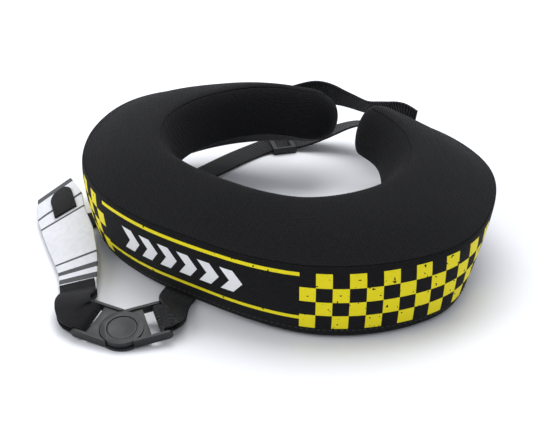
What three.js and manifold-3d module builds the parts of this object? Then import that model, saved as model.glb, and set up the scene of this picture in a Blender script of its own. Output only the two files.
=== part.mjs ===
// Motocross neck brace: a C-shaped foam collar in a knit cover, with an underarm strap loop and a buckle with a
// round button.
// It lies on a surface, neck hole up, the middle of the C towards -Y and the mouth between its arms towards +Y.
// Lengths are millimetres and angles degrees. Plan angles start at the middle of the C and grow towards +X.
import * as THREE from 'three';
import { mergeVertices } from 'three/addons/utils/BufferGeometryUtils.js';
import Module from 'manifold-3d';

const wasm = await Module();
wasm.setup();

// Collar
const neckRadius = 88; // inner top seam, at its widest
const collarRadius = 156; // outer top seam, at its widest
const innerHeight = 76; // inner top seam above the surface
const outerHeight = 56; // outer top seam
const innerRise = 39; // inner bottom seam
const undercut = 11.5; // bottom seams lie this far inside the top ones at the middle of the C
const leftArmAngle = -157.5; // where the rounded end of each arm begins
const rightArmAngle = 160.5;
const endLength = 17; // how far an arm's rounded end runs past that
const endSeamTurn = 45; // where the neck band meets the outer band, round the end
const wallBulge = 2.5;
const endBulge = 7;
const topDome = 2.5;
const outerRound = 5;
const innerRound = 6;
const footWidth = 6; // flat strip that the collar stands on
const coverThickness = 1.6;
const fitGap = 0.3;

// Straps
const webbingWidth = 24;
const webbingThickness = 1.5;
const strapWidth = 20;
const strapThickness = 1.8;
const elasticWidth = 38;
const elasticThickness = 1.6;
const hookLoopWidth = 24;
const hookLoopThickness = 2;
const tabWidth = 18;
const tabLength = 36;
const tabThickness = 1.4;

// Buckle, in its own frame: its underside is z = 0 and the button's axis is Z
const buckleTilt = 13.6; // leans over so that the button faces forwards
const buckleTiltAim = -67.5;
const leftHalfAim = 187;
const rightHalfAim = 51.3;
const halfLength = 30;
const halfWidth = 14.5;
const railWidth = 2;
const buckleHeight = 6.2;
const plateSink = 1; // the plate lies this far inside the rails, above and below
const barWidth = 3.2;
const barThickness = 2.6;
const barReach = 26.2; // button's axis to the middle of a strap bar
const leftPlateReach = 19.5;
const rightPlateReach = 16.5;
const housingRadius = 14.2;
const tongueThickness = 1.8;
const buttonRadius = 9.7;
const buttonThickness = 1.7;
const buttonTravel = 1.5;
const dishDepth = 0.8;

// Slider on the long strap
const sliderLength = 18;
const sliderRail = 2.4;
const sliderBar = 3.5;
const sliderPlate = 1.4;
const sliderClearance = 0.6;

// Collar every 20 degrees all round: neck is a share of neckRadius, outside of collarRadius, lean of undercut and
// rise, the outer bottom seam's height, of outerHeight: the arms' ends curve up off the surface
const planRows = [
  { angle: -180, neck: 0.865, outside: 0.72, lean: 1, rise: 0.5 },
  { angle: -160, neck: 0.875, outside: 0.7, lean: 1, rise: 0.52 },
  { angle: -140, neck: 0.9, outside: 0.752, lean: 1, rise: 0.4 },
  { angle: -120, neck: 0.935, outside: 0.89, lean: 1, rise: 0.22 },
  { angle: -100, neck: 0.977, outside: 1, lean: 1, rise: 0.05 },
  { angle: -80, neck: 1, outside: 0.982, lean: 0.9, rise: 0 },
  { angle: -60, neck: 0.98, outside: 0.932, lean: 0.65, rise: 0 },
  { angle: -40, neck: 0.925, outside: 0.88, lean: 0.8, rise: 0 },
  { angle: -20, neck: 0.86, outside: 0.822, lean: 0.85, rise: 0 },
  { angle: 0, neck: 0.84, outside: 0.797, lean: 0.8, rise: 0 },
  { angle: 20, neck: 0.862, outside: 0.824, lean: 0.65, rise: 0 },
  { angle: 40, neck: 0.905, outside: 0.882, lean: 0.25, rise: 0 },
  { angle: 60, neck: 0.94, outside: 0.945, lean: 0.2, rise: 0 },
  { angle: 80, neck: 0.97, outside: 0.996, lean: 0.65, rise: 0 },
  { angle: 100, neck: 0.967, outside: 0.957, lean: 1.5, rise: 0.02 },
  { angle: 120, neck: 0.935, outside: 0.922, lean: 1.6, rise: 0.08 },
  { angle: 140, neck: 0.9, outside: 0.842, lean: 1.2, rise: 0.18 },
  { angle: 160, neck: 0.875, outside: 0.765, lean: 1, rise: 0.31 },
];

// The straps under the front and left lift the collar: full lift between the inner pair of angles
const liftRows = { start: -175, fullFrom: -130, fullTo: -4, end: 45 };

// Elastic band from its top end to the buckle: its outer edge as shares of collarRadius, its width as a share of
// elasticWidth, the aim of its width, and the lean that raises the side by the collar
const elasticRows = [
  { x: -1.128, y: -0.423, width: 0.78, aim: 58, lean: 30 },
  { x: -1, y: -0.571, width: 1, aim: 55, lean: 30 },
  { x: -0.91, y: -0.647, width: 0.93, aim: 47, lean: 27 },
  { x: -0.801, y: -0.737, width: 0.92, aim: 45, lean: 22 },
  { x: -0.615, y: -0.885, width: 0.74, aim: 52, lean: 15 },
  { x: -0.526, y: -0.981, width: 0.66, aim: 52, lean: 10 },
  { x: -0.494, y: -1.017, width: 0.66, aim: 52, lean: 9 },
];
const tabShift = 0.1; // tab's middle, as a share of elasticWidth, towards the collar
const buckleSpot = { x: -0.104, y: -1.087 };

// Long strap: sewn on the right arm's outer band at these angles, then shares of collarRadius, with z as a share of
// outerHeight and the aim of its width
const sewnAngles = [140, 147, 154];
const sewnHeight = 0.54;
const longStrapRows = [
  { x: 0.07, y: 0.84, z: 0.56, aim: -100, lean: 50 },
  { x: -0.06, y: 0.893, z: 0.46, aim: -84, lean: 24 },
  { x: -0.178, y: 0.893, z: 0.39, aim: -70, lean: 6 },
  { x: -0.302, y: 0.848, z: 0.22, aim: -62, lean: 0 },
  { x: -0.418, y: 0.783, z: 0.07, aim: -52, lean: 0 },
];
const floorStrapRows = [
  { x: -0.577, y: 0.605, aim: -16 },
  { x: -0.612, y: 0.47, aim: -12 },
  { x: -0.648, y: 0.26, aim: -9 },
  { x: -0.687, y: 0, aim: -10 },
  { x: -0.735, y: -0.22, aim: -18 },
  { x: -0.82, y: -0.4, aim: -37 },
  { x: -0.94, y: -0.515, aim: -47 },
];
const sliderSpot = { x: -0.499, y: 0.72, aim: -43 };

// Closure strap across the mouth: reach is past the outer seam, height of its middle as a share of outerHeight
const closureRows = [
  { angle: -145, reach: 0, height: 0.86, lean: 90 },
  { angle: -152, reach: 0.004, height: 0.99, lean: 90 },
  { angle: -159, reach: 0.03, height: 1.05, lean: 84 },
  { angle: -168, reach: 0.05, height: 0.98, lean: 60 },
  { angle: -179, reach: 0.04, height: 0.9, lean: 52 },
  { angle: -188, reach: 0.024, height: 0.94, lean: 68 },
  { angle: -194, reach: 0.008, height: 0.97, lean: 88 },
  { angle: -199, reach: 0, height: 0.93, lean: 90 },
];

const degree = Math.PI / 180;
const mix = (from, to, share) => from + (to - from) * share;
const vector = (x, y, z) => new THREE.Vector3(x, y, z);
const inPlane = (angle) => vector(Math.cos(angle * degree), Math.sin(angle * degree), 0);

function material(name, color, roughness, metalness = 0) {
  return new THREE.MeshStandardMaterial({ name, color, roughness, metalness });
}

const knitTop = material('knit_top', 0x17181b, 0.85);
const ribKnit = material('rib_knit', 0x1a1b1f, 0.8);
const foam = material('foam', 0x3a3b3d, 0.95);
const webbing = material('webbing', 0x0f1012, 0.75);
const elastic = material('elastic', 0xdedfe2, 0.8);
const hookLoop = material('hook_loop', 0x121214, 0.95);
const plastic = material('plastic', 0x2f3234, 0.45);

// Mesh from triangles of points: shared corners are merged, flat triangles dropped and faces turned outwards
function solidMesh(name, triangles, look) {
  const loose = new THREE.BufferGeometry();
  const numbers = triangles.flatMap((corners) => corners.flatMap((point) => [point.x, point.y, point.z]));
  loose.setAttribute('position', new THREE.Float32BufferAttribute(numbers, 3));
  const merged = mergeVertices(loose, 1e-3);
  const place = merged.attributes.position;
  const corner = (index) => vector(place.getX(index), place.getY(index), place.getZ(index));
  const kept = [];
  let volume = 0;
  for (let i = 0; i < merged.index.count; i += 3) {
    const [a, b, c] = [0, 1, 2].map((k) => merged.index.getX(i + k));
    if (a === b || b === c || c === a) continue;
    kept.push([a, b, c]);
    volume += corner(a).dot(corner(b).cross(corner(c)));
  }
  const order = volume > 0 ? [0, 1, 2] : [0, 2, 1];
  merged.setIndex(kept.flatMap((face) => order.map((k) => face[k])));
  merged.computeVertexNormals();
  const mesh = new THREE.Mesh(merged, look);
  mesh.name = name;
  return mesh;
}

const quad = (a, b, c, d) => [[a, b, c], [a, c, d]];

// Skin between two grids of points; openEnds leaves out the short edges where a panel runs to a point
function skinMesh(name, outside, inside, look, openEnds = false) {
  const triangles = [];
  const rows = outside.length - 1;
  const columns = outside[0].length - 1;
  for (let i = 0; i < rows; i += 1) {
    for (let j = 0; j < columns; j += 1) {
      triangles.push(...quad(outside[i][j], outside[i + 1][j], outside[i + 1][j + 1], outside[i][j + 1]));
      triangles.push(...quad(inside[i][j], inside[i][j + 1], inside[i + 1][j + 1], inside[i + 1][j]));
    }
    triangles.push(...quad(outside[i][0], inside[i][0], inside[i + 1][0], outside[i + 1][0]));
    const last = columns;
    triangles.push(...quad(outside[i][last], outside[i + 1][last], inside[i + 1][last], inside[i][last]));
  }
  for (let j = 0; j < columns && !openEnds; j += 1) {
    triangles.push(...quad(outside[0][j], outside[0][j + 1], inside[0][j + 1], inside[0][j]));
    triangles.push(...quad(outside[rows][j], inside[rows][j], inside[rows][j + 1], outside[rows][j + 1]));
  }
  return solidMesh(name, triangles, look);
}

// Loft through closed rings of equal length; an end whose ring is a flat line needs no cap
function loftMesh(name, rings, look, capped) {
  const triangles = [];
  const size = rings[0].length;
  for (let i = 0; i < rings.length - 1; i += 1) {
    for (let j = 0; j < size; j += 1) {
      const next = (j + 1) % size;
      triangles.push(...quad(rings[i][j], rings[i][next], rings[i + 1][next], rings[i + 1][j]));
    }
  }
  for (let j = 1; j < size - 1 && capped; j += 1) {
    const first = rings[0];
    const last = rings[rings.length - 1];
    triangles.push([first[0], first[j + 1], first[j]], [last[0], last[j], last[j + 1]]);
  }
  return solidMesh(name, triangles, look);
}

// Collar: plan and lift
function planShare(angle, column) {
  const step = planRows[1].angle - planRows[0].angle;
  const place = ((angle - planRows[0].angle + 720) % 360) / step;
  const i = Math.floor(place);
  const share = place - i;
  const row = (k) => planRows[(k + planRows.length) % planRows.length][column];
  const [a, b, c, d] = [i - 1, i, i + 1, i + 2].map(row);
  return b + 0.5 * share * (c - a + share * (2 * a - 5 * b + 4 * c - d + share * (3 * (b - c) + d - a)));
}

const strapLift = 2 * (webbingThickness + 2 * fitGap); // two layers of webbing lie below the collar

function liftAt(angle) {
  const rise = THREE.MathUtils.smoothstep(angle, liftRows.start, liftRows.fullFrom);
  const fall = 1 - THREE.MathUtils.smoothstep(angle, liftRows.fullTo, liftRows.end);
  return strapLift * rise * fall;
}

// A place on the rim: a plan angle and a turn, 0 at the outside and 180 at the neck; way is the arm's end it rounds
function rimPlace(angle, turn, way = 1) {
  const neck = neckRadius * planShare(angle, 'neck');
  const outside = collarRadius * planShare(angle, 'outside');
  return {
    radial: inPlane(angle - 90),
    along: inPlane(angle).multiplyScalar(way),
    middle: (neck + outside) / 2,
    half: (outside - neck) / 2,
    lift: liftAt(angle),
    outerRise: outerHeight * Math.max(0, planShare(angle, 'rise')),
    lean: undercut * planShare(angle, 'lean'),
    turn: turn * degree,
    out: (1 + Math.cos(turn * degree)) / 2,
  };
}

const acrossFrom = (place) => ({ ...place, turn: Math.PI - place.turn, out: 1 - place.out });

function rimPoint(place, inset, height, level, bulge = 0) {
  const middle = place.middle - place.lean * (1 - level);
  const outwards = place.radial.clone().multiplyScalar(endLength * Math.cos(place.turn));
  outwards.addScaledVector(place.along, place.half * Math.sin(place.turn)).normalize();
  const point = place.radial.clone().multiplyScalar(middle + (place.half - inset) * Math.cos(place.turn));
  point.addScaledVector(place.along, (endLength - inset) * Math.sin(place.turn));
  point.addScaledVector(outwards, bulge);
  point.z = height;
  return point;
}

const roundAt = (place) => mix(innerRound, outerRound, place.out);
const topAt = (place, depth) => mix(innerHeight, outerHeight, place.out) + place.lift - depth;
const underSlope = Math.hypot(1, innerRise / (collarRadius - neckRadius));
const baseAt = (place, depth) => (
  mix(innerRise, place.outerRise, place.out) + place.lift + depth * mix(underSlope, 1, place.out));
const cornerShare = 1 - Math.SQRT1_2; // how far a quarter arc's middle lies in from both its edges

// Column of points up a wall at a depth below the cover's surface; split parts the seams
function wallColumn(place, depth, split) {
  const round = roundAt(place);
  const tuck = cornerShare * (round - depth);
  const [low, high] = [baseAt(place, depth), topAt(place, depth)];
  const [foot, crown] = [baseAt(place, 0), topAt(place, 0)];
  const bulge = mix(wallBulge, endBulge, Math.sin(place.turn) ** 2);
  const between = (z) => {
    const level = (z - foot) / (crown - foot);
    return rimPoint(place, depth, z, level, bulge * 4 * level * (1 - level));
  };
  return [
    rimPoint(place, depth + tuck, low + tuck + split, 0),
    between(foot + round),
    between(mix(foot, crown, 0.5)),
    between(crown - round),
    rimPoint(place, depth + tuck, high - tuck - split, 1),
  ];
}

// Row of points across the top, outer seam to neck seam
function topRow(place, depth, split) {
  const edge = (side) => {
    const round = roundAt(side);
    const tuck = cornerShare * (round - depth);
    const seam = rimPoint(side, depth + tuck + split, topAt(side, depth) - tuck, 1);
    return { seam, flat: rimPoint(side, round, topAt(side, depth), 1) };
  };
  const outer = edge(place);
  const inner = edge(acrossFrom(place));
  const crown = (share) => {
    const point = outer.flat.clone().lerp(inner.flat, share);
    point.z += topDome * Math.cos(place.turn);
    return point;
  };
  return [outer.seam, outer.flat, crown(1 / 3), crown(2 / 3), inner.flat, inner.seam];
}

// Row of points across the underside, outer seam to neck seam, with the flat strip that it stands on
function baseRow(place, depth, split) {
  const edge = (side) => {
    const round = roundAt(side);
    const tuck = cornerShare * (round - depth);
    const seam = rimPoint(side, depth + tuck + split, baseAt(side, depth) + tuck, 0);
    return { round, seam, flat: rimPoint(side, round, baseAt(side, depth), 0) };
  };
  const outer = edge(place);
  const inner = edge(acrossFrom(place));
  const footInset = outer.round + footWidth * Math.cos(place.turn);
  const foot = rimPoint(place, footInset, baseAt(place, depth), 0);
  const slope = [1 / 3, 2 / 3].map((share) => foot.clone().lerp(inner.flat, share));
  return [outer.seam, outer.flat, foot, ...slope, inner.flat, inner.seam];
}

const mainSteps = 42;
const endSteps = 4;
const mainAngles = Array.from({ length: mainSteps + 1 }, (_, i) => mix(leftArmAngle, rightArmAngle, i / mainSteps));
const endTurns = Array.from({ length: endSteps }, (_, i) => (90 * (i + 1)) / endSteps);
const crossPlaces = [
  ...endTurns.map((turn) => rimPlace(leftArmAngle, turn, -1)).reverse(),
  ...mainAngles.map((angle) => rimPlace(angle, 0)),
  ...endTurns.map((turn) => rimPlace(rightArmAngle, turn, 1)),
];

function bandPlaces(fromTurn, toTurn, angles, firstEnd, lastEnd) {
  const step = (90 / endSteps) * Math.sign(toTurn - fromTurn);
  const steps = Math.ceil((toTurn - fromTurn) / step);
  const turns = Array.from({ length: steps }, (_, i) => (i === steps - 1 ? toTurn : fromTurn + step * (i + 1)));
  return [
    ...turns.map((turn) => rimPlace(firstEnd.angle, turn, firstEnd.way)).reverse(),
    ...angles.map((angle) => rimPlace(angle, fromTurn)),
    ...turns.map((turn) => rimPlace(lastEnd.angle, turn, lastEnd.way)),
  ];
}

const leftEnd = { angle: leftArmAngle, way: -1 };
const rightEnd = { angle: rightArmAngle, way: 1 };
const seamHalf = fitGap / 2 / endLength / degree;
const outerPlaces = bandPlaces(0, endSeamTurn - seamHalf, mainAngles, leftEnd, rightEnd);
const neckPlaces = bandPlaces(180, endSeamTurn + seamHalf, [...mainAngles].reverse(), rightEnd, leftEnd);
const seamSplit = fitGap / 2;

function coverPanel(name, places, section, look, openEnds) {
  const outside = places.map((place) => section(place, 0, seamSplit));
  const inside = places.map((place) => section(place, coverThickness, seamSplit));
  return skinMesh(name, outside, inside, look, openEnds);
}

function foamCore() {
  const depth = coverThickness + fitGap;
  const rings = crossPlaces.map((place) => [
    ...wallColumn(place, depth, 0),
    ...topRow(place, depth, 0).slice(1, -1),
    ...wallColumn(acrossFrom(place), depth, 0).reverse(),
    ...baseRow(place, depth, 0).slice(1, -1).reverse(),
  ]);
  return loftMesh('foam_core', rings, foam, false);
}

// Ribbons: frames along a smooth path. Each width axis is squared to the path in plan, so that its lean stays
function widthAxis(aim, lean) {
  return inPlane(aim).multiplyScalar(Math.cos(lean * degree)).add(vector(0, 0, Math.sin(lean * degree)));
}

function ribbonFrames(rows, stepsPerRow) {
  const curve = new THREE.CatmullRomCurve3(rows.map((row) => row.at), false, 'centripetal');
  const count = (rows.length - 1) * stepsPerRow;
  return Array.from({ length: count + 1 }, (_, k) => {
    const place = k / stepsPerRow;
    const i = Math.min(Math.floor(place), rows.length - 2);
    const [from, to] = [rows[i], rows[i + 1]];
    const aim = mix(from.aim, to.aim, place - i);
    const lean = mix(from.lean, to.lean, place - i);
    const width = mix(from.width ?? 1, to.width ?? 1, place - i);
    const tangent = curve.getTangent(k / count);
    const side = widthAxis(aim, lean);
    const level = vector(tangent.x, tangent.y, 0);
    const flat = mix(from.flat ?? 1, to.flat ?? 1, place - i);
    side.addScaledVector(level, (-flat * side.dot(tangent)) / Math.max(level.lengthSq(), 0.25));
    side.addScaledVector(tangent, -side.dot(tangent)).normalize();
    return { at: curve.getPoint(k / count), side, normal: tangent.clone().cross(side), aim, lean, width };
  });
}

function ribbonMesh(name, frames, width, thickness, look) {
  const rings = frames.map(({ at, side, normal, width: share }) => {
    const across = side.clone().multiplyScalar((width * share) / 2);
    const through = normal.clone().multiplyScalar(thickness / 2);
    return [[1, 1], [-1, 1], [-1, -1], [1, -1]].map(([s, n]) => (
      at.clone().addScaledVector(across, s).addScaledVector(through, n)));
  });
  return loftMesh(name, rings, look, true);
}

const planPoint = (spot, z) => vector(spot.x * collarRadius, spot.y * collarRadius, z);

// Elastic band and its tab: the outer edge leaves room for the hook-and-loop piece below it
const elasticLow = hookLoopThickness + 4 * fitGap;
const elasticPath = elasticRows.map(({ x, y, width, aim, lean }) => {
  const outerEdge = planPoint({ x, y }, elasticLow + (elasticThickness / 2) * Math.cos(lean * degree));
  return { at: outerEdge.addScaledVector(widthAxis(aim, lean), (elasticWidth * width) / 2), aim, lean, width };
});
const framesPerRow = 6;
const elasticFrames = ribbonFrames(elasticPath, framesPerRow);

function bandTab() {
  const lift = (elasticThickness + tabThickness) / 2 + fitGap;
  const shift = tabShift * elasticWidth;
  const roundedEnd = [0.45, 0.86];
  const first = elasticFrames[2].at;
  const covered = elasticFrames.filter((frame, k) => k > 1 && frame.at.distanceTo(first) < tabLength);
  const frames = covered.map((frame, k) => ({
    ...frame,
    at: frame.at.clone().addScaledVector(frame.normal, lift).addScaledVector(frame.side, shift),
    width: roundedEnd[k] ?? 1,
  }));
  return ribbonMesh('band_tab', frames, tabWidth, tabThickness, hookLoop);
}

// Buckle frame: standing on the lowest point of its round housing
const buckleUp = inPlane(buckleTiltAim).multiplyScalar(Math.sin(buckleTilt * degree));
buckleUp.z = Math.cos(buckleTilt * degree);
const buckleFoot = (housingRadius + 1) * Math.sin(buckleTilt * degree);
const buckleSeat = planPoint(buckleSpot, buckleFoot);

function buckleAxis(aim) {
  const axis = inPlane(aim);
  return axis.addScaledVector(buckleUp, -axis.dot(buckleUp)).normalize();
}

const buckleX = buckleAxis(0);
const buckleY = buckleUp.clone().cross(buckleX);
const turnInBuckle = (aim) => Math.atan2(buckleAxis(aim).dot(buckleY), buckleAxis(aim).dot(buckleX));
const buckleMatrix = new THREE.Matrix4().makeBasis(buckleX, buckleY, buckleUp).setPosition(buckleSeat);

function manifoldOf(geometry, matrix = new THREE.Matrix4()) {
  const bare = geometry.clone().applyMatrix4(matrix);
  bare.deleteAttribute('normal');
  bare.deleteAttribute('uv');
  const merged = mergeVertices(bare, 1e-4);
  const vertProperties = new Float32Array(merged.attributes.position.array);
  const triVerts = new Uint32Array(merged.index.array);
  return new wasm.Manifold(new wasm.Mesh({ numProp: 3, vertProperties, triVerts }));
}

function meshOf(name, solid, look, matrix) {
  const { vertProperties, triVerts } = solid.getMesh();
  const geometry = new THREE.BufferGeometry();
  geometry.setAttribute('position', new THREE.Float32BufferAttribute(vertProperties, 3));
  geometry.setIndex([...triVerts]);
  geometry.applyMatrix4(matrix);
  geometry.computeVertexNormals();
  const mesh = new THREE.Mesh(geometry, look);
  mesh.name = name;
  return mesh;
}

function block(xFrom, xTo, yFrom, yTo, zFrom, zTo, turn = 0) {
  const box = new THREE.BoxGeometry(xTo - xFrom, yTo - yFrom, zTo - zFrom);
  box.translate((xFrom + xTo) / 2, (yFrom + yTo) / 2, (zFrom + zTo) / 2);
  return manifoldOf(box, new THREE.Matrix4().makeRotationZ(turn));
}

function disc(radius, zFrom, zTo, sides = 40) {
  const cylinder = new THREE.CylinderGeometry(radius, radius, zTo - zFrom, sides);
  cylinder.rotateX(Math.PI / 2).translate(0, 0, (zFrom + zTo) / 2);
  return manifoldOf(cylinder);
}

// Rail with a round end, standing on edge along one side of a half
function rail(side, turn) {
  const outline = new THREE.Shape();
  const start = railStart;
  const nose = buckleHeight / 2;
  outline.moveTo(start, 0);
  outline.lineTo(halfLength - nose, 0);
  outline.absarc(halfLength - nose, nose, nose, -Math.PI / 2, Math.PI / 2, false);
  outline.lineTo(start, buckleHeight);
  const wall = new THREE.ExtrudeGeometry(outline, { depth: railWidth, bevelEnabled: false, curveSegments: 8 });
  wall.rotateX(Math.PI / 2);
  wall.translate(0, side > 0 ? halfWidth : railWidth - halfWidth, 0);
  return manifoldOf(wall, new THREE.Matrix4().makeRotationZ(turn));
}

const railStart = 4;
const barMiddle = buckleHeight / 2;

function buckleHalf(turn, plateReach) {
  const inner = halfWidth - railWidth / 2;
  const plate = block(railStart, plateReach, -inner, inner, plateSink, buckleHeight - plateSink, turn);
  const barFrom = barReach - barWidth / 2;
  const bar = block(barFrom, barFrom + barWidth, -inner, inner,
    barMiddle - barThickness / 2, barMiddle + barThickness / 2, turn);
  return plate.add(bar).add(rail(1, turn)).add(rail(-1, turn));
}

const leftTurn = turnInBuckle(leftHalfAim);
const rightTurn = turnInBuckle(rightHalfAim);
const well = buttonRadius + fitGap;
const wellFloor = buckleHeight - buttonThickness - buttonTravel - 2 * fitGap;

function buckleSocket() {
  const housingFrom = tongueThickness + fitGap;
  const tongueRoom = disc(housingRadius + 1 + fitGap, -1, housingFrom);
  return buckleHalf(rightTurn, rightPlateReach)
    .subtract(tongueRoom)
    .add(disc(housingRadius, housingFrom, buckleHeight))
    .subtract(disc(well, wellFloor, buckleHeight + 1));
}

function buckleTongue() {
  const reach = halfWidth + fitGap;
  const socketRoom = block(0, halfLength + 1, -reach, reach, -1, buckleHeight + 1, rightTurn);
  const housingRoom = disc(housingRadius + 2 * fitGap, tongueThickness, buckleHeight + 1);
  return buckleHalf(leftTurn, leftPlateReach)
    .subtract(socketRoom)
    .subtract(housingRoom)
    .add(disc(housingRadius + 1, 0, tongueThickness));
}

function releaseButton() {
  const top = buckleHeight - fitGap;
  const profile = [
    new THREE.Vector2(0, top - buttonThickness),
    new THREE.Vector2(buttonRadius, top - buttonThickness),
    new THREE.Vector2(buttonRadius, top),
    new THREE.Vector2(0.88 * buttonRadius, top),
    new THREE.Vector2(0.5 * buttonRadius, top - 0.75 * dishDepth),
    new THREE.Vector2(0, top - dishDepth),
  ];
  const turned = new THREE.LatheGeometry(profile, 40);
  turned.rotateX(Math.PI / 2);
  return meshOf('release_button', manifoldOf(turned), plastic, buckleMatrix);
}

// Path of a strap that loops round a bar: over it, down through the slot and back below, straight past the rails
function barPoint(aim, outwards, upwards) {
  const middle = vector(0, 0, barMiddle).applyMatrix4(buckleMatrix);
  return middle.addScaledVector(buckleAxis(aim), barReach + outwards).addScaledVector(buckleUp, upwards);
}

function barLoop(aim, thickness) {
  const beside = barWidth / 2 + fitGap + thickness / 2;
  const over = barThickness / 2 + fitGap + thickness / 2;
  const clear = halfLength - barReach + 2 * thickness;
  const corner = 0.84;
  return [
    barPoint(aim, clear, over),
    barPoint(aim, 0, over * 1.03),
    barPoint(aim, -beside * corner, over * corner),
    barPoint(aim, -beside, 0),
    barPoint(aim, -beside * corner, -over * corner),
    barPoint(aim, 0, -over * 1.03),
    barPoint(aim, clear, -over),
  ];
}

// Hook-and-loop piece: both layers hold the elastic band's lower end and loop round the left bar
function hookLoopStrap() {
  const lift = (elasticThickness + hookLoopThickness) / 2 + 3 * fitGap;
  const bar = barLoop(leftHalfAim, hookLoopThickness);
  const barAim = leftHalfAim - 90;
  const barLean = Math.asin(buckleAxis(barAim).z) / degree;
  const held = [6, 4, 2, 0].map((back) => elasticFrames[elasticFrames.length - 1 - back]);
  const elasticEnd = held[held.length - 1];
  const beyond = { ...elasticEnd, at: elasticEnd.at.clone().lerp(held[held.length - 2].at, -1.5) };
  const layer = (side) => {
    const seat = [...held, beyond].map(({ at, normal, aim, lean }) => ({
      at: at.clone().addScaledVector(normal, side * lift),
      aim,
      lean,
    }));
    const from = seat[seat.length - 1].at;
    const to = side > 0 ? bar[0] : bar[bar.length - 1];
    const bow = vector(-0.08, -0.06, 0.08).multiplyScalar(from.distanceTo(to));
    const between = [0.35, 0.7].map((share, k) => ({
      at: from.clone().lerp(to, share).addScaledVector(bow, 4 * share * (1 - share)),
      aim: mix(elasticEnd.aim, barAim, [0.3, 0.8][k]),
      lean: mix(elasticEnd.lean, barLean, share),
    }));
    return [...seat, ...between];
  };
  const round = bar.map((at, k) => {
    const leaves = k % (bar.length - 1) === 0;
    return { at, aim: barAim, lean: barLean, flat: leaves ? 1 : 0 };
  });
  const rows = [...layer(1), ...round, ...layer(-1).reverse()];
  return ribbonMesh('hook_loop_strap', ribbonFrames(rows, 3), hookLoopWidth, hookLoopThickness, hookLoop);
}

// Doubled webbing from the right bar to the underside of the collar
function buckleWebbing() {
  const bar = barLoop(rightHalfAim, webbingThickness);
  const barAim = rightHalfAim + 90;
  const barLean = Math.asin(buckleAxis(barAim).z) / degree;
  const collarAim = 156;
  const turning = 0.35; // where it turns towards the collar, as a share of the way from the collar's edge
  const turningWidth = 0.75;
  const gathered = 0.6; // it is gathered where it passes between the rails' ends
  const gatherShift = -0.05 * webbingWidth;
  const edge = { x: -0.088, y: -0.74 };
  const tucked = { x: -0.104, y: -0.665 };
  const layer = (side, z) => [
    { at: planPoint(tucked, z), aim: collarAim, lean: 0 },
    { at: planPoint(edge, z), aim: collarAim, lean: 0 },
    {
      at: planPoint(edge, z).lerp(side > 0 ? bar[0] : bar[bar.length - 1], turning),
      aim: mix(collarAim, barAim, 0.5),
      lean: barLean / 2,
      width: turningWidth,
    },
  ];
  const lowZ = webbingThickness / 2 + fitGap;
  const round = bar.map((at, k) => {
    const leaves = k % (bar.length - 1) === 0;
    const spot = leaves ? at.clone().addScaledVector(inPlane(barAim), gatherShift) : at;
    return { at: spot, aim: barAim, lean: barLean, flat: leaves ? 1 : 0, width: leaves ? gathered : 1 };
  });
  const rows = [...layer(1, lowZ + webbingThickness + fitGap), ...round, ...layer(-1, lowZ).reverse()];
  return ribbonMesh('buckle_webbing', ribbonFrames(rows, 3), webbingWidth, webbingThickness, webbing);
}

// Long strap: right arm, slider, floor of the neck hole, under the left side to the elastic band's outer edge
const sliderLow = sliderPlate + fitGap + strapThickness / 2;

// Row of a strap that stands against the outer band
function sewnRow(angle) {
  const height = sewnHeight * outerHeight;
  const place = rimPlace(angle, 0);
  const level = (height - baseAt(place, 0)) / (topAt(place, 0) - baseAt(place, 0));
  const at = rimPoint(place, 0, height, level, wallBulge + 2 * fitGap + strapThickness / 2);
  const lean = Math.atan2(topAt(place, 0) - baseAt(place, 0), place.lean) / degree;
  return { at, aim: angle - 90, lean };
}

function longStrap() {
  const slide = inPlane(sliderSpot.aim - 90);
  const sliderRow = (way) => ({
    at: planPoint(sliderSpot, sliderLow).addScaledVector(slide, (way * sliderLength) / 2),
    aim: sliderSpot.aim,
    lean: 0,
  });
  const rows = [
    ...sewnAngles.map(sewnRow),
    ...longStrapRows.map((row) => ({ at: planPoint(row, row.z * outerHeight), aim: row.aim, lean: row.lean })),
    sliderRow(-1),
    sliderRow(1),
    ...floorStrapRows.map((row) => ({ at: planPoint(row, strapThickness / 2 + fitGap), aim: row.aim, lean: 0 })),
  ];
  return ribbonMesh('long_strap', ribbonFrames(rows, 3), strapWidth, strapThickness, webbing);
}

function strapSlider() {
  const room = strapWidth / 2 + sliderClearance;
  const side = room + sliderRail;
  const half = sliderLength / 2;
  const barTop = sliderPlate;
  const over = sliderLow + strapThickness / 2 + 2 * fitGap;
  const top = over + sliderPlate;
  const solid = block(room, side, -half, half, 0, top)
    .add(block(-side, -room, -half, half, 0, top))
    .add(block(-side, side, half - sliderBar, half, over, top))
    .add(block(-side, side, -half, sliderBar - half, over, top))
    .add(block(-side, side, -sliderBar / 2, sliderBar / 2, 0, barTop));
  const place = new THREE.Matrix4().makeRotationZ(sliderSpot.aim * degree).setPosition(planPoint(sliderSpot, 0));
  return meshOf('strap_slider', solid, plastic, place);
}

// Closure strap: stands on edge behind both arms and crosses the mouth
function closureStrap() {
  const rows = closureRows.map((row) => {
    const outside = collarRadius * (planShare(row.angle, 'outside') + row.reach);
    const radius = outside + fitGap + strapThickness / 2;
    const at = inPlane(row.angle - 90).multiplyScalar(radius);
    at.z = row.height * outerHeight;
    return { at, aim: row.angle + 90, lean: row.lean };
  });
  return ribbonMesh('closure_strap', ribbonFrames(rows, 3), strapWidth, strapThickness, webbing);
}

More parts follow.
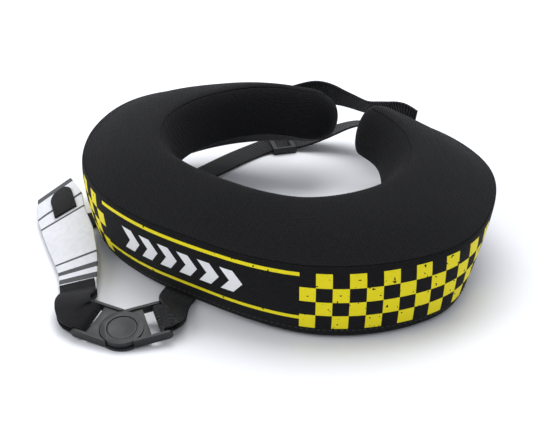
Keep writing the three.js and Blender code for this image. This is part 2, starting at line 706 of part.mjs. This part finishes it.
const brace = new THREE.Group();
brace.add(
  foamCore(),
  coverPanel('top_panel', crossPlaces, topRow, knitTop, true),
  coverPanel('outer_band', outerPlaces, wallColumn, ribKnit, false),
  coverPanel('neck_band', neckPlaces, wallColumn, knitTop, false),
  coverPanel('base_panel', [...crossPlaces].reverse(), baseRow, ribKnit, true),
  closureStrap(),
  longStrap(),
  strapSlider(),
  ribbonMesh('elastic_band', elasticFrames, elasticWidth, elasticThickness, elastic),
  bandTab(),
  hookLoopStrap(),
  meshOf('buckle_tongue', buckleTongue(), plastic, buckleMatrix),
  meshOf('buckle_socket', buckleSocket(), plastic, buckleMatrix),
  releaseButton(),
  buckleWebbing(),
);

// The origin is the middle of the footprint, on the surface
const footprint = new THREE.Box3().setFromObject(brace, true);
const footprintMiddle = footprint.getCenter(vector(0, 0, 0));
brace.position.set(-footprintMiddle.x, -footprintMiddle.y, 0);

export default brace;
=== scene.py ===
# Looks of a motocross neck brace: a knit-covered foam collar with straps and a round-button buckle.
# Lengths are metres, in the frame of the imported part.
import math

import bmesh
import bpy
from mathutils import Matrix, Vector, noise
from mathutils.bvhtree import BVHTree
from mathutils.kdtree import KDTree


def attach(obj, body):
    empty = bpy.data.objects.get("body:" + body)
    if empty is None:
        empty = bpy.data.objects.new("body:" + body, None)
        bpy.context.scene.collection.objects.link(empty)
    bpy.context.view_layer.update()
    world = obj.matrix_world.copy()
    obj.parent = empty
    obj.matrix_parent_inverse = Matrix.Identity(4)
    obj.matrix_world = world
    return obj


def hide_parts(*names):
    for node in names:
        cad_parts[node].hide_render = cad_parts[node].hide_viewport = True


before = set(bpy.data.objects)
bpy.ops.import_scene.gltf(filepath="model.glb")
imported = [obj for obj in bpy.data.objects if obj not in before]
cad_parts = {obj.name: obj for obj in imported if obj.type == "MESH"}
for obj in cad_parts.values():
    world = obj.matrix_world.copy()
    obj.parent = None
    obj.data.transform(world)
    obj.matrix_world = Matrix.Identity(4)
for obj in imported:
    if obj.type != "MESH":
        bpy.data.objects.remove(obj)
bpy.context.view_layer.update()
mm = 0.001

# Camera: the photograph's view, a long lens about a metre away and 30 degrees above the floor.
# The focal length is in pixels of an image 533 wide.
focal_pixels = 1511.4
image_width = 533
eye = Vector((0.514764, -0.768346, 0.543990))
towards = Vector((-0.47875, 0.72387, -0.49680))
right = Vector((0.83569, 0.54918, -0.00513))
lens = bpy.data.cameras.new("camera")
lens.sensor_width = 36
lens.lens = lens.sensor_width * focal_pixels / image_width
lens.clip_end = 50
camera = bpy.data.objects.new("camera", lens)
bpy.context.scene.collection.objects.link(camera)
axes = Matrix((right, right.cross(towards), -towards)).transposed().to_4x4()
camera.matrix_world = Matrix.Translation(eye) @ axes
bpy.context.scene.camera = camera

# Studio: a white floor under a large soft light from above and behind, with a weaker one from the front
# left. The world is an even white, as in a light tent.
bpy.context.scene.view_settings.view_transform = "Standard"
world = bpy.data.worlds.new("light_tent")
world.use_nodes = True
world.node_tree.nodes["Background"].inputs["Color"].default_value = (0.93, 0.95, 1, 1)
world.node_tree.nodes["Background"].inputs["Strength"].default_value = 0.75
bpy.context.scene.world = world
soft_lights = [
    {"name": "top_light", "at": (-0.25, 0.5, 1.3), "size": 1.1, "power": 15},
    {"name": "front_light", "at": (-0.9, -0.9, 0.9), "size": 0.8, "power": 6},
]
for row in soft_lights:
    area = bpy.data.lights.new(row["name"], "AREA")
    area.size = row["size"]
    area.energy = row["power"]
    lamp = bpy.data.objects.new(row["name"], area)
    lamp.location = row["at"]
    lamp.rotation_euler = (-Vector(row["at"])).to_track_quat("-Z", "Y").to_euler()
    bpy.context.scene.collection.objects.link(lamp)

floor_mesh = bpy.data.meshes.new("floor")
work = bmesh.new()
bmesh.ops.create_grid(work, x_segments=2, y_segments=2, size=6)
work.to_mesh(floor_mesh)
work.free()
floor = bpy.data.objects.new("floor", floor_mesh)
floor.location.z = -0.1 * mm
bpy.context.scene.collection.objects.link(floor)
paper = bpy.data.materials.new("white_paper")
paper.use_nodes = True
paper.node_tree.nodes["Principled BSDF"].inputs["Base Color"].default_value = (0.86, 0.87, 0.9, 1)
paper.node_tree.nodes["Principled BSDF"].inputs["Roughness"].default_value = 0.6
floor_mesh.materials.append(paper)


# Foam ring: a C of soft foam, cut to one thickness all round and rounded at both arms. It fills the
# cover and shows only in the seams' grooves.
weld = 1e-6


def copy_of(node):
    """A bmesh of a CAD node's solid, its loose triangles merged and joined into quads."""
    work = bmesh.new()
    work.from_mesh(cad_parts[node].data)
    bmesh.ops.remove_doubles(work, verts=work.verts, dist=weld)
    bmesh.ops.join_triangles(
        work, faces=work.faces, angle_face_threshold=math.pi, angle_shape_threshold=math.pi)
    return work


def crease_corners(work, least, amount):
    """Keeps corners of at least that many degrees crisp when the mesh is subdivided."""
    layer = work.edges.layers.float.new("crease_edge")
    for edge in work.edges:
        if edge.is_manifold and edge.calc_face_angle(0) > math.radians(least):
            edge[layer] = amount


def smooth_piece(name, work, levels):
    """An object from a bmesh, with its subdivision applied to the mesh."""
    coarse = bpy.data.meshes.new(name)
    work.to_mesh(coarse)
    work.free()
    piece = bpy.data.objects.new(name, coarse)
    bpy.context.scene.collection.objects.link(piece)
    surface = piece.modifiers.new("surface", "SUBSURF")
    surface.levels = levels
    surface.render_levels = levels
    bpy.context.view_layer.update()
    state = bpy.context.evaluated_depsgraph_get()
    piece.data = bpy.data.meshes.new_from_object(
        piece.evaluated_get(state), preserve_all_data_layers=True, depsgraph=state)
    piece.modifiers.clear()
    piece.data.name = name
    piece.data.shade_smooth()
    return piece


def calc(tree, operation, *values):
    """A Math node: each value is a number or another node's output."""
    node = tree.nodes.new("ShaderNodeMath")
    node.operation = operation
    for socket, value in zip(node.inputs, values):
        if isinstance(value, (int, float)):
            socket.default_value = value
        else:
            tree.links.new(value, socket)
    return node.outputs[0]


def clouds(tree, scale, detail=3):
    """Noise on Object coordinates, from 0 to 1; scale is in cycles a metre."""
    place = tree.nodes.new("ShaderNodeTexCoord")
    pattern = tree.nodes.new("ShaderNodeTexNoise")
    pattern.inputs["Scale"].default_value = scale
    pattern.inputs["Detail"].default_value = detail
    tree.links.new(place.outputs["Object"], pattern.inputs["Vector"])
    return pattern.outputs["Fac"]


def blend_colours(tree, share, low, high):
    """A colour between low and high, each a colour or another node's output."""
    node = tree.nodes.new("ShaderNodeMix")
    node.data_type = "RGBA"
    tree.links.new(share, node.inputs["Factor"])
    for socket, value in ((node.inputs["A"], low), (node.inputs["B"], high)):
        if isinstance(value, tuple):
            socket.default_value = (*value, 1)
        else:
            tree.links.new(value, socket)
    return node.outputs["Result"]


def new_finish(name, roughness, sheen=0.0, specular=0.5):
    """A material, its node tree and its shader."""
    finish = bpy.data.materials.new(name)
    finish.use_nodes = True
    shader = finish.node_tree.nodes["Principled BSDF"]
    shader.inputs["Roughness"].default_value = roughness
    shader.inputs["Sheen Weight"].default_value = sheen
    shader.inputs["Sheen Roughness"].default_value = 0.4
    shader.inputs["Specular IOR Level"].default_value = specular
    return finish, finish.node_tree, shader


def raise_relief(tree, shader, height, depth):
    """Bump whose height of 1 stands that many metres proud."""
    bump = tree.nodes.new("ShaderNodeBump")
    bump.inputs["Distance"].default_value = depth
    tree.links.new(height, bump.inputs["Height"])
    tree.links.new(bump.outputs["Normal"], shader.inputs["Normal"])


foam = smooth_piece("foam_ring", copy_of("foam_core"), 2)
foam_finish, tree, shader = new_finish("foam_cells", 0.95, specular=0.1)
cells = clouds(tree, 900)
cell_colour = blend_colours(tree, cells, (0.01, 0.01, 0.011), (0.03, 0.03, 0.032))
tree.links.new(cell_colour, shader.inputs["Base Color"])
raise_relief(tree, shader, cells, 0.3 * mm)
foam.data.materials.append(foam_finish)
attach(foam, "root")
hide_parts("foam_core")

# Top panel and neck band: stretchy polyester knit with a fine diagonal rib, sewn along the collar's
# upper edges and pulled tight over the foam. The sewing gathers it a little beside each seam.
collar_middle = Vector((11.744 * mm, 19.364 * mm, 0))
# The paler knit colour is random tone on every knit; on the top panel and neck band it is also painted sheen
# on the raised ribs.
knit_black = (0.0022, 0.0022, 0.0026)
knit_paler_tone_and_sheen = (0.0095, 0.0095, 0.0105)
rim_crease = 0.3
seam_corner = 60
panel_levels = 3
slack_depth = 0.7 * mm
slack_size = 42 * mm


def from_middle(point):
    """Plan direction from the collar's middle."""
    return Vector((point.x - collar_middle.x, point.y - collar_middle.y, 0))


def turn_of(point):
    """Plan angle in degrees from the middle of the C, growing towards +X."""
    away = from_middle(point)
    return math.degrees(math.atan2(away.x, -away.y))


def loosen(piece, outside, depth=slack_depth, size=slack_size):
    """Soft hollows in a panel's outer side; outside gives 0 to 1, how far a normal points off the foam."""
    normals = [vertex.normal.copy() for vertex in piece.data.vertices]
    for vertex, normal in zip(piece.data.vertices, normals):
        share = max(0.0, outside(vertex.co, normal))
        hollow = noise.noise(vertex.co / size) - 0.35
        vertex.co += normal * (share * depth * hollow)
    piece.data.update()


knit, tree, shader = new_finish("diagonal_knit", 0.75, sheen=0.02, specular=0.12)
place = tree.nodes.new("ShaderNodeTexCoord")
apart = tree.nodes.new("ShaderNodeSeparateXYZ")
tree.links.new(place.outputs["Object"], apart.inputs[0])
rib_pitch = 2.2 * mm
cross_pitch = 1.3 * mm
rib_lean = 0.75
rib_climb = 0.6
cross_lean = 0.6
fuzz_scale = 2600
leaning = calc(tree, "ADD", apart.outputs["X"], calc(tree, "MULTIPLY", apart.outputs["Y"], rib_lean))
leaning = calc(tree, "ADD", leaning, calc(tree, "MULTIPLY", apart.outputs["Z"], rib_climb))
rib = calc(tree, "SINE", calc(tree, "MULTIPLY", leaning, math.tau / rib_pitch))
falling = calc(tree, "MULTIPLY", apart.outputs["X"], cross_lean)
falling = calc(tree, "SUBTRACT", apart.outputs["Y"], falling)
loops = calc(tree, "SINE", calc(tree, "MULTIPLY", falling, math.tau / cross_pitch))
weave = calc(tree, "MULTIPLY_ADD", loops, 0.5, rib)
fuzz = clouds(tree, fuzz_scale, 2)
raised = calc(tree, "MULTIPLY_ADD", weave, 0.3, fuzz)
# Colour: random tone, plus painted sheen that makes the raised diagonal ribs lighter.
rib_sheen_and_tone = calc(tree, "MULTIPLY_ADD", rib, 0.3, clouds(tree, 420, 5))
tree.links.new(blend_colours(tree, rib_sheen_and_tone, knit_black, knit_paler_tone_and_sheen), shader.inputs["Base Color"])
raise_relief(tree, shader, raised, 0.55 * mm)

panel_sides = {
    "top_panel": lambda point, normal: normal.z,
    "neck_band": lambda point, normal: -normal.dot(from_middle(point).normalized()),
}
for node, outside in panel_sides.items():
    work = copy_of(node)
    crease_corners(work, seam_corner, rim_crease)
    panel = smooth_piece(node + "_knit", work, panel_levels)
    loosen(panel, outside)
    panel.data.materials.append(knit)
    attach(panel, "root")
    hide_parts(node)

# Outer band: rib knit with a rubbery screen print, one strip from arm to arm, hemmed along its lower
# edge. The print is plain racing chequers on both sides, alike left and right, with a row of white
# arrows between two thin lines at the front.
band_height = 50.0
degree_length = 2.35
print_yellow = (0.86, 0.74, 0.012)
print_white = (0.86, 0.87, 0.88)
band_ribs = 1.25
band_columns = 1.1
hem_height = 4.6
hem_half = 0.45
edge_step = 2


def level_edges(piece):
    """Lowest and highest point of a band at each plan angle, in steps of edge_step degrees."""
    edges = {}
    for vertex in piece.data.vertices:
        key = round(turn_of(vertex.co) / edge_step)
        low, high = edges.get(key, (1.0, 0.0))
        edges[key] = (min(low, vertex.co.z), max(high, vertex.co.z))
    return edges


def edges_at(edges, turn):
    """Lower and upper edge of a band at a plan angle."""
    place = turn / edge_step
    first = math.floor(place)
    share = place - first
    near = edges.get(first) or edges.get(first + 1)
    far = edges.get(first + 1) or near
    return tuple(near[k] + (far[k] - near[k]) * share for k in (0, 1))


work = copy_of("outer_band")
crease_corners(work, seam_corner, rim_crease)
band = smooth_piece("outer_band_knit", work, panel_levels)
loosen(band, lambda point, normal: normal.dot(from_middle(point).normalized()))
band_edges = level_edges(band)
turn_layer = band.data.attributes.new("turn", "FLOAT", "POINT")
rise_layer = band.data.attributes.new("rise", "FLOAT", "POINT")
for vertex in band.data.vertices:
    turn = turn_of(vertex.co)
    low, high = edges_at(band_edges, turn)
    turn_layer.data[vertex.index].value = turn * degree_length
    rise_layer.data[vertex.index].value = band_height * (vertex.co.z - low) / (high - low)

ribbed, tree, shader = new_finish("printed_rib_knit", 0.75, sheen=0.02, specular=0.14)


def read(tree, name):
    """A number that the mesh carries at each point."""
    node = tree.nodes.new("ShaderNodeAttribute")
    node.attribute_name = name
    return node.outputs["Fac"]


def within(tree, value, low, high):
    """1 where value lies between low and high, else 0."""
    above = calc(tree, "GREATER_THAN", value, low)
    return calc(tree, "MULTIPLY", above, calc(tree, "LESS_THAN", value, high))


def either(tree, *masks):
    """1 where any of the masks is 1."""
    total = masks[0]
    for mask in masks[1:]:
        total = calc(tree, "MAXIMUM", total, mask)
    return total


run = read(tree, "turn")
rise = read(tree, "rise")
wear = clouds(tree, 300, 4)
whole = calc(tree, "LESS_THAN", wear, 0.66)
off_front = calc(tree, "ABSOLUTE", run)

# Yellow chequers, from the same distance on both sides of the front
check = 10.0
check_bottom = 6.0
check_rows = 4
check_columns = 14
check_start = 84.0
check_end = check_start + check_columns * check
from_start = calc(tree, "SUBTRACT", off_front, check_start)
from_bottom = calc(tree, "SUBTRACT", rise, check_bottom)
column = calc(tree, "SINE", calc(tree, "MULTIPLY", from_start, math.pi / check))
level = calc(tree, "SINE", calc(tree, "MULTIPLY", from_bottom, math.pi / check))
chequers = calc(tree, "GREATER_THAN", calc(tree, "MULTIPLY", column, level), 0)
panel_run = within(tree, off_front, check_start, check_end)
panel_rise = within(tree, rise, check_bottom, check_bottom + check_rows * check)
chequers = calc(tree, "MULTIPLY", chequers, calc(tree, "MULTIPLY", panel_run, panel_rise))

# Two thin yellow lines that frame the arrows between the chequers
thin_lines = [(12.0, 14.5), (43.5, 46.0)]
framed = calc(tree, "LESS_THAN", off_front, check_start)
frame_lines = [calc(tree, "MULTIPLY", framed, within(tree, rise, low, high)) for low, high in thin_lines]
yellow = calc(tree, "MULTIPLY", either(tree, chequers, *frame_lines), whole)

# White arrows at the front
arrow_pitch = 18.0
arrow_width = 10.0
arrow_start = -54.0
arrow_count = 6
arrow_middle = 29.0
arrow_half = 8.0
arrow_lean = 0.9
off_level = calc(tree, "ABSOLUTE", calc(tree, "SUBTRACT", rise, arrow_middle))
pointed = calc(tree, "ADD", run, calc(tree, "MULTIPLY", off_level, arrow_lean))
row_end = arrow_start + arrow_count * arrow_pitch
arrow_zone = within(tree, pointed, arrow_start, row_end)
arrow_zone = calc(tree, "MULTIPLY", arrow_zone, calc(tree, "LESS_THAN", off_level, arrow_half))
in_pitch = calc(tree, "WRAP", pointed, arrow_start + arrow_pitch, arrow_start)
arrow = calc(tree, "LESS_THAN", in_pitch, arrow_start + arrow_width)
white = calc(tree, "MULTIPLY", arrow_zone, arrow)
printed = either(tree, yellow, white)

ribs = calc(tree, "SINE", calc(tree, "MULTIPLY", rise, math.tau / band_ribs))
columns = calc(tree, "SINE", calc(tree, "MULTIPLY", run, math.tau / band_columns))
knitted = calc(tree, "MULTIPLY_ADD", columns, 0.4, ribs)
bare = calc(tree, "MULTIPLY_ADD", printed, -0.65, 1)
relief = calc(tree, "MULTIPLY_ADD", calc(tree, "MULTIPLY", knitted, bare), 0.3, clouds(tree, fuzz_scale, 2))
off_hem = calc(tree, "ABSOLUTE", calc(tree, "SUBTRACT", rise, hem_height))
hem = calc(tree, "LESS_THAN", off_hem, hem_half)
relief = calc(tree, "SUBTRACT", relief, calc(tree, "MULTIPLY", hem, 2))
raise_relief(tree, shader, relief, 0.45 * mm)
cloth_colour = blend_colours(tree, clouds(tree, 320, 4), knit_black, knit_paler_tone_and_sheen)
inked = blend_colours(tree, yellow, cloth_colour, print_yellow)
inked = blend_colours(tree, white, inked, print_white)
tree.links.new(inked, shader.inputs["Base Color"])
tree.links.new(calc(tree, "MULTIPLY_ADD", printed, -0.3, 0.8), shader.inputs["Roughness"])
band.data.materials.append(ribbed)
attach(band, "root")
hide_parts("outer_band")

# Base panel: the same black rib knit without print, with the flat strip that the collar stands on.
plain_knit, tree, shader = new_finish("plain_rib_knit", 0.75, sheen=0.02, specular=0.12)
place = tree.nodes.new("ShaderNodeTexCoord")
apart = tree.nodes.new("ShaderNodeSeparateXYZ")
tree.links.new(place.outputs["Object"], apart.inputs[0])
lines = calc(tree, "SINE", calc(tree, "MULTIPLY", apart.outputs["X"], math.tau / (band_ribs * mm)))
tree.links.new(blend_colours(tree, clouds(tree, 320, 4), knit_black, knit_paler_tone_and_sheen), shader.inputs["Base Color"])
raise_relief(tree, shader, calc(tree, "MULTIPLY_ADD", lines, 0.4, clouds(tree, fuzz_scale, 2)), 0.2 * mm)
work = copy_of("base_panel")
crease_corners(work, seam_corner, rim_crease)
base = smooth_piece("base_panel_knit", work, 2)
base.data.materials.append(plain_knit)
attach(base, "root")
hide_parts("base_panel")

# Topstitching: black polyester thread, a little shinier than the knit, through the outer band's hem.
stitch_length = 2.5 * mm
stitch_pitch = 3.6 * mm
thread_radius = 0.33 * mm
thread, tree, shader = new_finish("sewing_thread", 0.5, sheen=0.1, specular=0.4)
twist = clouds(tree, 3000, 1)
thread_colour = blend_colours(tree, twist, (0.008, 0.008, 0.009), (0.03, 0.03, 0.032))
tree.links.new(thread_colour, shader.inputs["Base Color"])
raise_relief(tree, shader, twist, 0.1 * mm)


def sew(name, path):
    """Stitches along a path of points and normals, each sunk by half its thread."""
    work = bmesh.new()
    travelled = 0.0
    for (here, normal), (there, _) in zip(path, path[1:]):
        step = (there - here).length
        travelled += step
        if travelled < stitch_pitch or step == 0:
            continue
        travelled = 0.0
        along = (there - here).normalized()
        side = normal.cross(along).normalized()
        turned = Matrix((along, side, along.cross(side))).transposed().to_4x4()
        size = Matrix.Diagonal((stitch_length / 2, thread_radius, thread_radius, 1))
        bmesh.ops.create_icosphere(
            work, subdivisions=2, radius=1, matrix=Matrix.Translation(here) @ turned @ size)
    mesh = bpy.data.meshes.new(name)
    work.to_mesh(mesh)
    work.free()
    mesh.shade_smooth()
    stitches = bpy.data.objects.new(name, mesh)
    bpy.context.scene.collection.objects.link(stitches)
    mesh.materials.append(thread)
    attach(stitches, "root")
    return stitches


band_tree = BVHTree.FromObject(band, bpy.context.evaluated_depsgraph_get())
far_out = 0.3


def on_wall(turn, height):
    """Point and normal of the outer band at a plan angle and height."""
    way = Vector((math.sin(math.radians(turn)), -math.cos(math.radians(turn)), 0))
    start = collar_middle + way * far_out
    start.z = height
    return band_tree.ray_cast(start, -way)[:2]


hem_start = -152
hem_end = 156
quarter_degrees = [k / 4 for k in range(4 * hem_start, 4 * hem_end)]
hem_path = []
for turn in quarter_degrees:
    low, high = edges_at(band_edges, turn)
    point, normal = on_wall(turn, low + (high - low) * hem_height / band_height)
    if point:
        hem_path.append((point, normal))
sew("hem_stitches", hem_path)

# Webbing straps: black polypropylene webbing, woven with ribs across its width. The closure strap
# crosses the mouth, the long one runs from the right arm to the elastic band, and the doubled one holds
# the buckle to the collar.
webbing_pitch = 2.1 * mm
edge_round = 0.42 * mm
strap_corner = 55
cross_waves = 30


def strap_piece(name, node, levels=2):
    """A strap with rounded edges. Its mesh carries the distance along it and the side, -1 to 1."""
    work = copy_of(node)
    ends = [face for face in work.faces if all(len(corner.link_edges) == 3 for corner in face.verts)]
    ring = list(ends[0].verts)
    corners = [ring]
    passed = set(ring)
    while True:
        following = []
        for corner in ring:
            ahead = [edge.other_vert(corner) for edge in corner.link_edges]
            following += [other for other in ahead if other not in passed][:1]
        if len(following) < len(ring):
            break
        ring = following
        passed.update(ring)
        corners.append(ring)
    first = [corner.co for corner in corners[0]]
    thin = (first[0] - first[1]).length < (first[1] - first[2]).length
    sides = (-1, -1, 1, 1) if thin else (-1, 1, 1, -1)
    places = KDTree(4 * len(corners))
    marks = []
    length = 0.0
    centres = [sum((corner.co for corner in ring), Vector()) / 4 for ring in corners]
    for k, ring in enumerate(corners):
        length += (centres[k] - centres[max(k - 1, 0)]).length
        for corner, side in zip(ring, sides):
            places.insert(corner.co, len(marks))
            marks.append((length, side))
    places.balance()
    along = work.verts.layers.float.new("along")
    across = work.verts.layers.float.new("across")
    edges = [edge for edge in work.edges if edge.calc_face_angle(0) > math.radians(strap_corner)]
    bmesh.ops.bevel(work, geom=edges, offset=edge_round, segments=2, profile=0.5, affect="EDGES", material=-1)
    for vertex in work.verts:
        vertex[along], vertex[across] = marks[places.find(vertex.co)[1]]
    piece = smooth_piece(name, work, levels)
    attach(piece, "root")
    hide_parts(node)
    return piece, centres


webbing, tree, shader = new_finish("ribbed_webbing", 0.6, sheen=0.05, specular=0.3)
far_along = read(tree, "along")
wide = read(tree, "across")
cord_rows = calc(tree, "SINE", calc(tree, "MULTIPLY", far_along, math.tau / webbing_pitch))
crossing = calc(tree, "SINE", calc(tree, "MULTIPLY", wide, cross_waves))
woven = calc(tree, "MULTIPLY_ADD", crossing, 0.25, cord_rows)
woven = calc(tree, "MULTIPLY_ADD", clouds(tree, 2400, 2), 0.8, woven)
raise_relief(tree, shader, woven, 0.6 * mm)
# Colour: random tone, plus painted highlight that makes the raised cords lighter.
ridge_sheen_and_tone = calc(tree, "MULTIPLY_ADD", cord_rows, 0.3, clouds(tree, 500, 3))
strands = blend_colours(tree, ridge_sheen_and_tone, (0.002, 0.002, 0.0025), (0.014, 0.014, 0.016))
tree.links.new(strands, shader.inputs["Base Color"])
for node in ("closure_strap", "long_strap", "buckle_webbing"):
    strap, _ = strap_piece(node + "_webbing", node)
    strap.data.materials.append(webbing)

# Elastic band: a wide knitted elastic, off-white, with woven grey stripes across it. Its lower end lies
# between the two layers of the hook-and-loop piece.
elastic_strap, elastic_path = strap_piece("elastic_band_knit", "elastic_band")
elastic, tree, shader = new_finish("striped_elastic", 0.75, sheen=0.1, specular=0.2)
steps = [(b - a).length for a, b in zip(elastic_path, elastic_path[1:])]
hidden_steps = 6
shown_length = sum(steps[hidden_steps:])
from_top = calc(tree, "SUBTRACT", sum(steps), read(tree, "along"))
from_top = calc(tree, "DIVIDE", from_top, shown_length)
stripe_shares = [(0, 0.06), (0.235, 0.285), (0.385, 0.4), (0.765, 0.78), (0.85, 0.885), (0.925, 0.967)]
grey_lines = [within(tree, from_top, low, high) for low, high in stripe_shares]
fibres = calc(tree, "SINE", calc(tree, "MULTIPLY", read(tree, "along"), math.tau / (1.2 * mm)))
stretch = calc(tree, "MULTIPLY_ADD", fibres, 0.6, clouds(tree, 1800, 3))
raise_relief(tree, shader, stretch, 0.16 * mm)
pale = blend_colours(tree, clouds(tree, 260, 4), (0.6, 0.61, 0.65), (0.78, 0.79, 0.83))
grey = blend_colours(tree, clouds(tree, 700, 3), (0.045, 0.047, 0.05), (0.1, 0.103, 0.11))
tree.links.new(blend_colours(tree, either(tree, *grey_lines), pale, grey), shader.inputs["Base Color"])
elastic_strap.data.materials.append(elastic)

# Tab and joining piece: thick hook-and-loop fabric with a fuzzy face, rounded at the tab's end and
# folded round the buckle's bar at the other piece.
fuzzy, tree, shader = new_finish("hook_and_loop", 0.95, sheen=0.12, specular=0.1)
pile = clouds(tree, 1500, 5)
pile_colour = blend_colours(tree, pile, (0.002, 0.002, 0.0025), (0.016, 0.016, 0.018))
tree.links.new(pile_colour, shader.inputs["Base Color"])
raise_relief(tree, shader, pile, 0.8 * mm)
tuft_depth = 0.12 * mm
tuft_size = 1.6 * mm
for node in ("band_tab", "hook_loop_strap"):
    strap, _ = strap_piece(node + "_pile", node, 3)
    normals = [vertex.normal.copy() for vertex in strap.data.vertices]
    for vertex, normal in zip(strap.data.vertices, normals):
        vertex.co += normal * (tuft_depth * noise.noise(vertex.co / tuft_size))
    strap.data.update()
    strap.data.materials.append(fuzzy)

# Buckle and slider: injection-moulded acetal, dark grey with a fine satin grain and small rounded
# edges. The left half's tongue lies under the right half's round housing, and the dished button sits in
# it.
moulded, tree, shader = new_finish("moulded_acetal", 0.4, specular=0.35)
grain = clouds(tree, 2200, 3)
scuffs = clouds(tree, 140, 4)
grey_resin = blend_colours(tree, scuffs, (0.007, 0.0075, 0.0082), (0.015, 0.016, 0.017))
tree.links.new(grey_resin, shader.inputs["Base Color"])
tree.links.new(calc(tree, "MULTIPLY_ADD", scuffs, 0.25, 0.3), shader.inputs["Roughness"])
raise_relief(tree, shader, grain, 0.05 * mm)
moulded_pieces = [
    {"node": "buckle_tongue", "body": "root", "round": 0.45},
    {"node": "buckle_socket", "body": "root", "round": 0.45},
    {"node": "release_button", "body": "button", "round": 0.3},
    {"node": "strap_slider", "body": "root", "round": 0.4},
]
for row in moulded_pieces:
    work = bmesh.new()
    work.from_mesh(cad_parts[row["node"]].data)
    bmesh.ops.remove_doubles(work, verts=work.verts, dist=weld)
    bmesh.ops.dissolve_limit(work, angle_limit=math.radians(1), verts=work.verts, edges=work.edges)
    mesh = bpy.data.meshes.new(row["node"] + "_moulding")
    work.to_mesh(mesh)
    work.free()
    piece = bpy.data.objects.new(row["node"] + "_moulding", mesh)
    bpy.context.scene.collection.objects.link(piece)
    mesh.shade_smooth()
    rounding = piece.modifiers.new("rounded_edges", "BEVEL")
    rounding.width = row["round"] * mm
    rounding.segments = 3
    rounding.limit_method = "ANGLE"
    rounding.angle_limit = math.radians(38)
    rounding.harden_normals = True
    mesh.materials.append(moulded)
    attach(piece, row["body"])
    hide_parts(row["node"])
